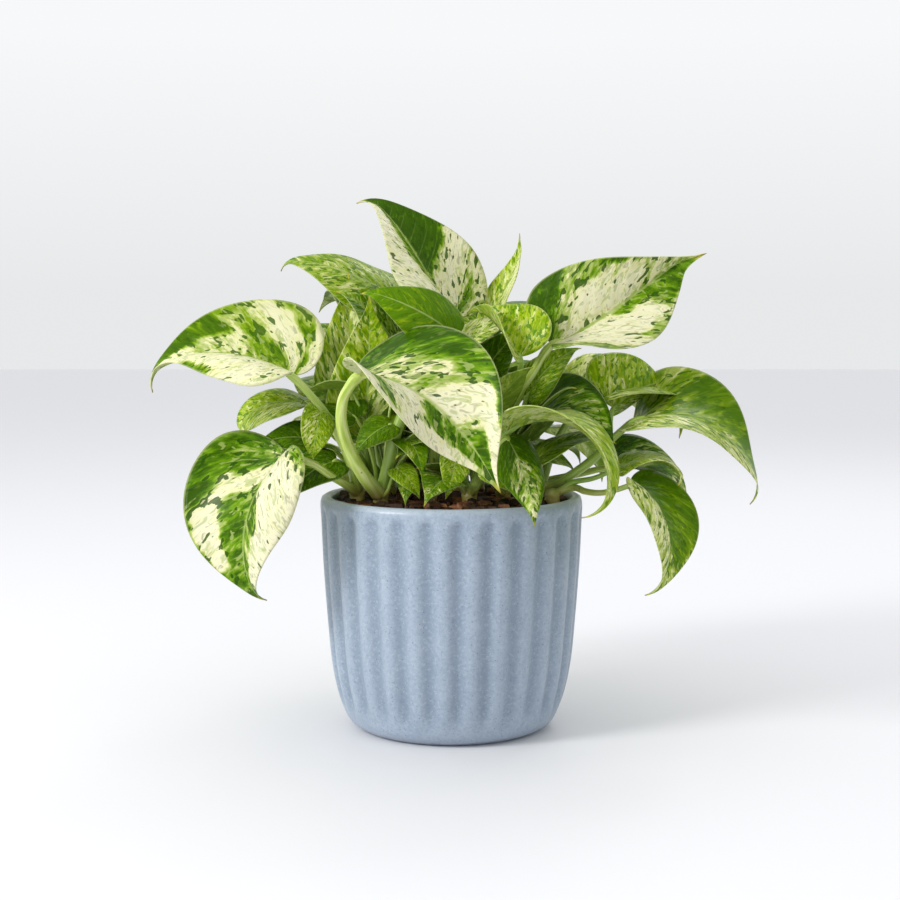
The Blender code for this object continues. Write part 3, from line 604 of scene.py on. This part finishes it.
def even_points(points, steps):
    """Points spaced evenly along the line through the given ones."""
    run = np.concatenate([[0], np.cumsum(np.linalg.norm(np.diff(points, axis=0), axis=1))])
    even = np.linspace(0, run[-1], steps)
    return np.stack([np.interp(even, run, column) for column in points.T], axis=1)


def smooth_step(value):
    value = np.clip(value, 0, 1)
    return value * value * (3 - 2 * value)


def build_planter():
    profile = np.clip(smooth_profile(WALL_OUTSIDE + WALL_INSIDE, WALL_STEPS), 0, None)
    profile[[0, -1], 0] = 0
    lip = int(profile[:, 1].argmax())

    def trough(u, at):
        """How deep a place lies in a flute, 0 on a ridge and 1 in the middle of a trough."""
        radius, height = profile[at, 0], profile[at, 1]
        across = 0.5 + 0.5 * np.cos(FLUTES * (u * 2 * math.pi - math.radians(FLUTE_PHASE)))
        # a trough fades out over the foot, and ends under the lip in a round arch
        low = smooth_step((height - FLUTE_FROM) / FLUTE_FADE)
        high = smooth_step((FLUTE_TO - FLUTE_ARCH * (1 - across) - height) / FLUTE_ARCH + 0.5)
        outside = (at < lip) & (radius > WALL_OUTSIDE[1][0])
        return np.where(outside, across**1.3 * low * high, 0)

    def place(u, v):
        at = np.round(v * (WALL_STEPS - 1)).astype(int)
        radius = profile[at, 0] - FLUTE_DEPTH * trough(u, at)
        turn = u * 2 * math.pi
        return np.stack([radius * np.sin(turn), -radius * np.cos(turn), profile[at, 1]], axis=1)

    planter, u, v = mapped_grid("planter", FLUTES * STEPS_PER_FLUTE, WALL_STEPS - 1, place)
    # how deep each point lies in a trough, which darkens the glaze: pooled glaze and painted shade
    set_attributes(planter, pool=trough(u, np.round(v * (WALL_STEPS - 1)).astype(int)))
    close_seams(planter)
    return join_pieces([planter], "planter")


# Soil


def crumbs(x, y, size, layer):
    """Smooth bumps from -1 to 1, about as wide as size and different in each layer."""
    return np.array([noise.noise(Vector((a / size, b / size, layer))) for a, b in zip(x, y)])


def build_peat():
    def place(u, v):
        turn = u * 2 * math.pi
        radius = SOIL_RADIUS * np.sqrt(v)
        x, y = radius * np.cos(turn), radius * np.sin(turn)
        lumps = LUMP_HEIGHT * crumbs(x, y, LUMP_SIZE, 1.0)
        grains = GRAIN_HEIGHT * crumbs(x, y, GRAIN_SIZE, 2.0)
        top = SOIL_TOP + SOIL_CROWN * (1 - v) + lumps + grains
        return np.stack([x, y, np.where(v > 0.995, SOIL_TOP - SOIL_SKIRT, top)], axis=1)

    peat = mapped_grid("peat", PEAT_SPOKES, PEAT_RINGS, place)[0]
    close_seams(peat)
    return join_pieces([peat], "peat")


def build_bark():
    """Broken chips strewn over the soil, half sunk, tilted and turned any way."""
    rnd = random.Random(BARK_SEED)
    deselect_all()
    bpy.ops.mesh.primitive_cube_add(size=MM)
    first = bpy.context.object
    bpy.ops.object.mode_set(mode="EDIT")
    bpy.ops.mesh.select_all(action="SELECT")
    bpy.ops.mesh.subdivide(number_cuts=1)
    bpy.ops.object.mode_set(mode="OBJECT")
    chips = []
    for _ in range(BARK_CHIPS):
        chip = first.copy()
        chip.data = first.data.copy()
        link_object(chip)
        turn = rnd.uniform(0, 2 * math.pi)
        radius = BARK_RADIUS * math.sqrt(rnd.random())
        top = SOIL_TOP + SOIL_CROWN * (1 - (radius / SOIL_RADIUS) ** 2)
        centre = Vector((radius * math.cos(turn), radius * math.sin(turn), top + rnd.uniform(-0.2, 1.4)))
        length = rnd.uniform(2.8, 8.4) if rnd.random() < LONG_CHIPS else rnd.uniform(1.4, 2.8)
        size = Vector((length, length * rnd.uniform(0.4, 0.75), length * rnd.uniform(0.3, 0.62)))
        turned = Matrix.Rotation(rnd.uniform(0, 2 * math.pi), 3, "Z")
        turned @= Matrix.Rotation(rnd.gauss(0, 0.6), 3, "X")
        for vertex in chip.data.vertices:
            corner = vertex.co / MM
            # the corners are drawn in to round the chip, then each is pushed its own way
            corner = corner * (1 - 0.28 * (corner.length / CUBE_CORNER) ** 2) * 1.25
            corner += Vector([rnd.uniform(-0.11, 0.11) for _ in range(3)])
            vertex.co = (turned @ (corner * size) + centre) * MM
        set_attributes(chip, shade=rnd.choice((-0.08, 0.0, 0.08, 0.16, 0.3, 0.55)))
        chips.append(chip)
    bpy.data.objects.remove(first)
    joined = join_pieces(chips, "bark_chips")
    bpy.ops.object.shade_smooth_by_angle(angle=math.radians(40))
    return joined


# Leaves


def leaf_edge(u):
    """Right margin of the flat blade of length 1: from the junction at u = 0 round the lobe to the tip."""
    u = np.asarray(u, float)[..., None]
    k = np.arange(6)
    return (EDGE_WEIGHTS * u**k * (1 - u) ** (5 - k)) @ EDGE


def flat_blade(u, v):
    """Place on the flat blade of grid point u along and v across, -1 on the left margin to 1 on the right."""
    edge = leaf_edge(u)
    middle = u**1.15
    return v * edge[..., 0], middle + np.abs(v) ** 1.3 * (edge[..., 1] - middle)


def leaf_spine(leaf):
    """Points of the bent midrib with the side and normal directions at each."""
    azimuth, elevation, roll = (math.radians(a) for a in leaf.heading)
    along = np.array([
        math.cos(elevation) * math.cos(azimuth), math.cos(elevation) * math.sin(azimuth), math.sin(elevation)
    ])
    level = np.array([math.sin(azimuth), -math.cos(azimuth), 0.0])
    up = np.cross(level, along)
    side = math.cos(roll) * level - math.sin(roll) * up
    normal = math.cos(roll) * up + math.sin(roll) * level
    points, sides, normals = [np.array(leaf.junction, float)], [side], [normal]
    step = 1 / SPINE_STEPS
    for i in range(SPINE_STEPS):
        s = (i + 0.5) * step
        late = 1.5 * (2 * s - 1)
        down = math.radians(leaf.bend + leaf.late_bend * late + 50 * leaf.hook * max(0.0, s - 0.8)) * step
        right = math.radians(leaf.sway + leaf.late_sway * late) * step
        new_along = along - down * normal + right * side
        new_along /= np.linalg.norm(new_along)
        normal = normal + down * along + math.radians(leaf.twist) * step * side
        normal -= (normal @ new_along) * new_along
        normal /= np.linalg.norm(normal)
        points.append(points[-1] + (along + new_along) * 0.5 * step * leaf.size[0])
        along = new_along
        side = np.cross(along, normal)
        sides.append(side)
        normals.append(normal)
    return np.array(points), np.array(sides), np.array(normals)


def blade_points(leaf, u, v):
    """Millimetre positions of grid points (u, v) on the bent, folded blade, and its normals there."""
    length, left, right = leaf.size
    points, sides, normals = leaf_spine(leaf)
    x, y = flat_blade(u, v)
    x = x * np.where(v < 0, left, right)
    s = np.clip(y, 0, 1) * SPINE_STEPS
    i = np.minimum(s.astype(int), SPINE_STEPS - 1)
    f = (s - i)[..., None]
    centre, side, normal = (row[i] * (1 - f) + row[i + 1] * f for row in (points, sides, normals))
    first = (points[1] - points[0]) / np.linalg.norm(points[1] - points[0])
    centre = centre + (np.minimum(y, 0) * length)[..., None] * first
    fold = np.radians(np.where(v < 0, *leaf.fold))
    curl = np.radians(np.where(v < 0, *leaf.curl)) / WIDEST
    curl = np.where(np.abs(curl) < 1e-4, 1e-4, curl)
    turned = fold + curl * np.abs(x)
    out = np.sign(x) * (np.sin(turned) - np.sin(fold)) / curl
    lift = (np.cos(fold) - np.cos(turned)) / curl
    return centre + (out * length)[..., None] * side + (lift * length)[..., None] * normal, normal


def back_leaf(stem, azimuth, reach, height, seed):
    """A leaf drawn by rule from its direction, reach and height: high ones rise, low ones droop."""
    rnd = random.Random(seed)
    low = min(1.0, max(0.0, (215 - height) / 85))
    turn = math.radians(azimuth)
    junction = (reach * math.cos(turn), reach * math.sin(turn), height)
    heading = (azimuth + rnd.uniform(-30, 30), 50 - 42 * low + rnd.uniform(-12, 12), rnd.uniform(-20, 20))
    size = (rnd.uniform(56, 78), rnd.uniform(0.95, 1.15), rnd.uniform(0.95, 1.15))
    bends = (
        55 + 50 * low + rnd.uniform(-20, 20), rnd.uniform(-12, 12), rnd.uniform(0, 35),
        rnd.uniform(-10, 10), rnd.uniform(-6, 6), rnd.uniform(-20, 20),
    )
    folds = rnd.uniform(8, 26), rnd.uniform(8, 26)
    curls = rnd.uniform(-45, 15), rnd.uniform(-45, 15)
    x, y = STEMS[stem]
    half_way = (
        x + (junction[0] - x) * 0.4, y + (junction[1] - y) * 0.4, SOIL_TOP + (height - SOIL_TOP) * 0.62
    )
    return Leaf(stem, BACK_PETIOLE, [half_way], junction, heading, size, *bends, folds, curls)


def all_leaves():
    return LEAVES | {f"back_{i}": back_leaf(*row) for i, row in enumerate(BACK_LEAVES)}


def vein_place(u, v):
    """Where the side vein through a place leaves the midrib, and how far out along that vein the place is."""
    x, y = flat_blade(u, v)
    x = np.abs(x)
    vein = y - VEIN_SLANT * x - VEIN_CURVE * x**2
    # in the lobe, below the junction, the veins fan out from one point
    return np.where(vein < 0, 0.36 * vein / (x + 0.03), vein), x * 1.3


def draw_marbling(seed, young=False):
    """Youth, ground tone and strokes drawn for a leaf that has none of its own."""
    rnd = random.Random(seed)
    youth = rnd.choice((0.3, 0.8)) if young else rnd.choice((0.0, 0.0, 0.15, 0.3, 0.7))
    paleness = YOUNG_TONE if young else 1.0
    strokes = {LEFT: [], RIGHT: []}
    for rows in strokes.values():
        at = -0.5
        while at < 1:
            wide = rnd.uniform(0.1, 0.4)
            tone = paleness * rnd.choice((0.05, 0.12, 0.3, 0.45, 0.55, 0.85, 0.97))
            inner, outer = rnd.choice((0.0, 0.1, 0.3)), rnd.choice((0.7, 0.95, 1.1))
            rows.append((at, at + wide, inner, outer, tone))
            at += wide
    return youth, rnd.uniform(0.1, 0.45), strokes


def inside(distance, blur):
    """1 well inside an edge and 0 well outside it."""
    return np.clip(distance / blur + 0.5, 0, 1)


def tone_at(vein, v, ground, strokes):
    """The ground tone with the strokes laid over it in turn."""
    tone = np.full(len(v), ground)
    out = np.abs(v)
    for side, rows in strokes.items():
        for start, end, inner, outer, value in rows:
            weight = inside(vein - start, BLUR_ALONG) * inside(end - vein, BLUR_ALONG)
            weight *= inside(outer - out, BLUR_OUT)
            if inner > 0:
                weight *= inside(out - inner, BLUR_OUT)
            if side:
                weight *= np.sign(v) == side
            tone = tone * (1 - weight) + value * weight
    return tone


def young_leaves():
    """Small fresh leaves low between the petioles, drawn by rule; the solids leave them out."""
    rnd = random.Random(YOUNG_SEED)
    leaves = {}
    for stem in YOUNG_STEMS:
        x, y = STEMS[stem]
        for i in range(YOUNG_PER_STEM):
            azimuth = rnd.choice((-10, 190)) + rnd.uniform(-50, 50)
            reach, rise = rnd.uniform(6, 16), rnd.uniform(12, 58)
            across, along = reach * math.cos(math.radians(azimuth)), reach * math.sin(math.radians(azimuth))
            leaves[f"{stem}_young_{i}"] = Leaf(
                stem, 1.0, [(x + 0.4 * across, y + 0.4 * along, SOIL_TOP + 0.6 * rise)],
                (x + across, y + along, SOIL_TOP + rise),
                (azimuth + rnd.uniform(-40, 40), rnd.uniform(0, 60), rnd.uniform(-40, 40)),
                (rnd.uniform(20, 38), 0.9, 0.9), bend=rnd.uniform(20, 90), hook=rnd.uniform(0, 30),
            )
    return leaves


def marbling_of(name, number):
    return MARBLING.get(name) or draw_marbling(number, "young" in name)


def build_blade(name, leaf, number):
    """The blade from a fine grid, with swells between its side veins, a wavy margin, a drip tip that hooks
    under and a thicker midrib."""
    youth, ground, strokes = marbling_of(name, number)
    scale = leaf.size[0] / PLAIN_LENGTH
    spine = leaf_spine(leaf)[0]
    forward = (spine[-1] - spine[-2]) / np.linalg.norm(spine[-1] - spine[-2])

    def place(u, v):
        across = 1 - v * 2
        points, normals = blade_points(leaf, u, across)
        out = np.abs(across)
        vein = vein_place(u, across)[0]
        rise = np.sin(math.pi * u) * np.sin(math.pi * out**0.8)
        swell = -SWELL * scale * rise * np.cos(VEINS * 2 * math.pi * vein)
        phase = np.where(across < 0, 0.8, 2.6) + number
        wave = MARGIN_WAVE * scale * out**5 * np.sin(math.pi * u) * np.sin(MARGIN_WAVES * u + phase)
        tip = np.clip((u - TIP_FROM) / (1 - TIP_FROM), 0, 1)
        drawn, hooked = DRIP_TIP * scale * tip**1.5, TIP_HOOK * DRIP_TIP * scale * tip**3
        return points + (swell + wave - hooked)[:, None] * normals + drawn[:, None] * forward

    share = 1 if leaf.size[0] > SHORT_LEAF else SHORT_SHARE
    blade, u, v = mapped_grid(name, round(BLADE_ROWS * share), round(BLADE_COLUMNS * share), place)
    across = 1 - v * 2
    vein, reach = vein_place(u, across)
    set_attributes(
        blade, tone=tone_at(vein, across, ground, strokes), youth=youth, draw=number * LEAF_LAYER,
        vein=vein, reach=np.sign(across) * reach, along=u, across=np.abs(across),
    )
    rib = blade.vertex_groups.new(name="rib")
    thick = BLADE_SHARE + (1 - BLADE_SHARE) * np.exp(-((across / 0.07) ** 2)) * (1 - u) ** 0.7
    for index, weight in enumerate(thick):
        rib.add([index], float(weight), "REPLACE")
    close_seams(blade, 0.03, outwards=False)
    blade.data.materials.append(bpy.data.materials["waxy_pothos_leaf"])
    blade.data.materials.append(bpy.data.materials["pothos_leaf_underside"])
    make_active(blade)
    solidify = blade.modifiers.new("thickness", "SOLIDIFY")
    solidify.thickness = RIB_THICKNESS * MM
    solidify.offset = -0.9
    solidify.vertex_group = "rib"
    solidify.material_offset = 1
    bpy.ops.object.modifier_apply(modifier="thickness")
    return blade


def path_points(places, steps):
    """Evenly spaced points on the smooth curve that the source draws through the same places."""
    curve = bpy.data.curves.new("path", "CURVE")
    curve.dimensions = "3D"
    curve.resolution_u = 24
    spline = curve.splines.new("BEZIER")
    spline.bezier_points.add(len(places) - 1)
    for point, place in zip(spline.bezier_points, places):
        point.co = [c * MM for c in place]
        point.handle_left_type = "AUTO"
        point.handle_right_type = "AUTO"
    holder = bpy.data.objects.new("path", curve)
    link_object(holder)
    mesh = bpy.data.meshes.new_from_object(holder.evaluated_get(bpy.context.evaluated_depsgraph_get()))
    fine = np.array([tuple(vertex.co) for vertex in mesh.vertices]) / MM
    bpy.data.objects.remove(holder)
    return even_points(fine, steps)


def build_tube(name, points, radius_at, upper_side, youth, number):
    """A closed tube round the points, with a shallow groove along the side that the leaf's face looks to."""
    rows = len(points) - 1
    along = np.gradient(points, axis=0)
    along /= np.linalg.norm(along, axis=1)[:, None]
    ups = [upper_side]
    for i in range(rows, 0, -1):
        up = ups[-1] - (ups[-1] @ along[i - 1]) * along[i - 1]
        ups.append(up / np.linalg.norm(up))
    ups = np.array(ups[::-1])
    sides = np.cross(along, ups)
    radii = np.array([radius_at(i / rows) for i in range(rows + 1)])
    radii[[0, -1]] = 0

    def place(u, v):
        at = np.round(u * rows).astype(int)
        turn = v * 2 * math.pi
        groove = 1 - 0.16 * np.exp(-((np.minimum(turn, 2 * math.pi - turn) / 0.55) ** 2))
        ring = np.cos(turn)[:, None] * ups[at] + np.sin(turn)[:, None] * sides[at]
        return points[at] + (radii[at] * groove)[:, None] * ring

    tube = mapped_grid(name, rows, 16, place)[0]
    set_attributes(tube, youth=youth, draw=number * STALK_LAYER)
    close_seams(tube, 0.01)
    return tube


def bell(t, middle, width):
    """A smooth bump that is 1 at the middle."""
    return math.exp(-(((t - middle) / width) ** 2))


def build_petiole(name, leaf, start, youth, number):
    """Wide at the foot where it sheathes the stem, with a knee a little before the blade."""
    points, _, normals = leaf_spine(leaf)
    line = path_points([start, *leaf.path, leaf.junction, points[PETIOLE_END]], 44)

    def radius_at(t):
        sheath, knee = 0.3 * math.exp(-t / 0.06), 0.14 * bell(t, 0.88, 0.035)
        into_blade = 1 - 0.6 * max(0.0, (t - 0.93) / 0.07)
        return leaf.petiole * (1.05 - 0.42 * t + sheath + knee) * into_blade

    return build_tube(name + "_petiole", line, radius_at, normals[0], youth, number)


def build_foot(name, number):
    """The short stem with two leaf scars round it."""
    x, y = STEMS[name]
    points = np.array([(x, y, z) for z in np.linspace(SOIL_TOP - STEM_DEPTH, SOIL_TOP + STEM_ABOVE, 31)])

    def radius_at(t):
        dome = 1 - 0.45 * max(0.0, (t - 0.88) / 0.12) ** 2
        return STEM_RADIUS * 0.94 * dome * (1 + 0.12 * bell(t, 0.72, 0.02) + 0.1 * bell(t, 0.86, 0.02))

    return build_tube(name + "_foot", points, radius_at, np.array([1.0, 0.0, 0.0]), 0.2, number)


def build_leafy_stem(name, leaves, numbers):
    x, y = STEMS[name]
    blades, stalks = [], [build_foot(name, len(name))]
    for i, (leaf_name, leaf) in enumerate(leaves.items()):
        number = numbers[leaf_name]
        youth = marbling_of(leaf_name, number)[0]
        lean = math.atan2(leaf.path[0][1] - y, leaf.path[0][0] - x)
        start = (
            x + PETIOLE_OFFSET * math.cos(lean), y + PETIOLE_OFFSET * math.sin(lean),
            SOIL_TOP + PETIOLE_START - PETIOLE_DROP * i,
        )
        blades.append(build_blade(leaf_name, leaf, number))
        stalks.append(build_petiole(leaf_name, leaf, start, youth, number))
    dress(join_pieces(blades, name + "_blades"), "stem_" + name)
    stalk_skin = bpy.data.materials["petiole_skin"]
    dress(join_pieces(stalks, name + "_stalks"), "stem_" + name, stalk_skin)


# Camera, floor and light


def set_camera():
    camera = bpy.data.objects.new("camera", bpy.data.cameras.new("camera"))
    link_object(camera)
    camera.data.lens = 70
    camera.data.sensor_width = 36
    camera.data.clip_start = 0.01
    camera.location = (-0.00065, -0.868, 0.2173)
    camera.rotation_euler = (math.radians(90 - 5.19), 0, 0)
    bpy.context.scene.camera = camera


def set_floor():
    deselect_all()
    bpy.ops.mesh.primitive_plane_add(size=8, location=(0, 0, 0))
    floor = bpy.context.object
    floor.name = "floor"
    material, _, shader = new_material("pale_studio_paper")
    shader.inputs["Base Color"].default_value = linear("E5E5E8")
    shader.inputs["Roughness"].default_value = 0.6
    floor.data.materials.append(material)


def set_light(name, place, size, power, color):
    light = bpy.data.lights.new(name, "AREA")
    light.shape = "DISK"
    light.size = size
    light.energy = power
    light.color = color
    obj = bpy.data.objects.new(name, light)
    link_object(obj)
    obj.location = place
    obj.rotation_euler = (Vector((0, 0, 0.14)) - Vector(place)).to_track_quat("-Z", "Y").to_euler()


def set_studio():
    """A window to the upper left, a weak light over the back, and a pale room, dimmer at the right, behind
    the camera and towards the horizon."""
    set_light("window_light", (-1.15, -0.75, 0.85), 0.5, 15, (1.0, 0.99, 0.97))
    set_light("back_light", (0.5, 0.9, 1.1), 0.6, 3, (1.0, 1.0, 1.0))
    world = bpy.data.worlds.new("studio")
    world.use_nodes = True
    tree = world.node_tree
    direction = add(tree, "ShaderNodeTexCoord", output="Generated")
    x, y, z = (part_of(tree, direction, axis) for axis in "XYZ")
    walls = remap(tree, y, -0.8, 0.0, 0.85, 0.95)
    haze = remap(tree, z, 0.0, 0.14, -0.13, 0.0)
    left = remap(tree, x, -0.9, -0.3, 0.04, 0.0)
    right = remap(tree, x, 0.3, 0.9, 0.0, -0.05)
    sided = calculate(tree, "ADD", calculate(tree, "ADD", walls, haze), calculate(tree, "ADD", left, right))
    tree.links.new(sided, tree.nodes["Background"].inputs["Strength"])
    tree.nodes["Background"].inputs["Color"].default_value = (0.98, 0.99, 1.0, 1)
    bpy.context.scene.world = world
    bpy.context.scene.view_settings.view_transform = "Standard"


set_camera()
set_floor()
set_studio()

dress(build_planter(), "pot", satin_glaze())
dress(build_peat(), "soil", peat_mix())
dress(build_bark(), "soil", pine_bark())
pothos_leaf("waxy_pothos_leaf", False)
pothos_leaf("pothos_leaf_underside", True)
petiole_skin()
every_leaf = all_leaves() | young_leaves()
leaf_numbers = {name: number for number, name in enumerate(every_leaf, 1)}
for stem_name in STEMS:
    stem_leaves = {name: leaf for name, leaf in every_leaf.items() if leaf.stem == stem_name}
    build_leafy_stem(stem_name, stem_leaves, leaf_numbers)

bpy.context.view_layer.update()
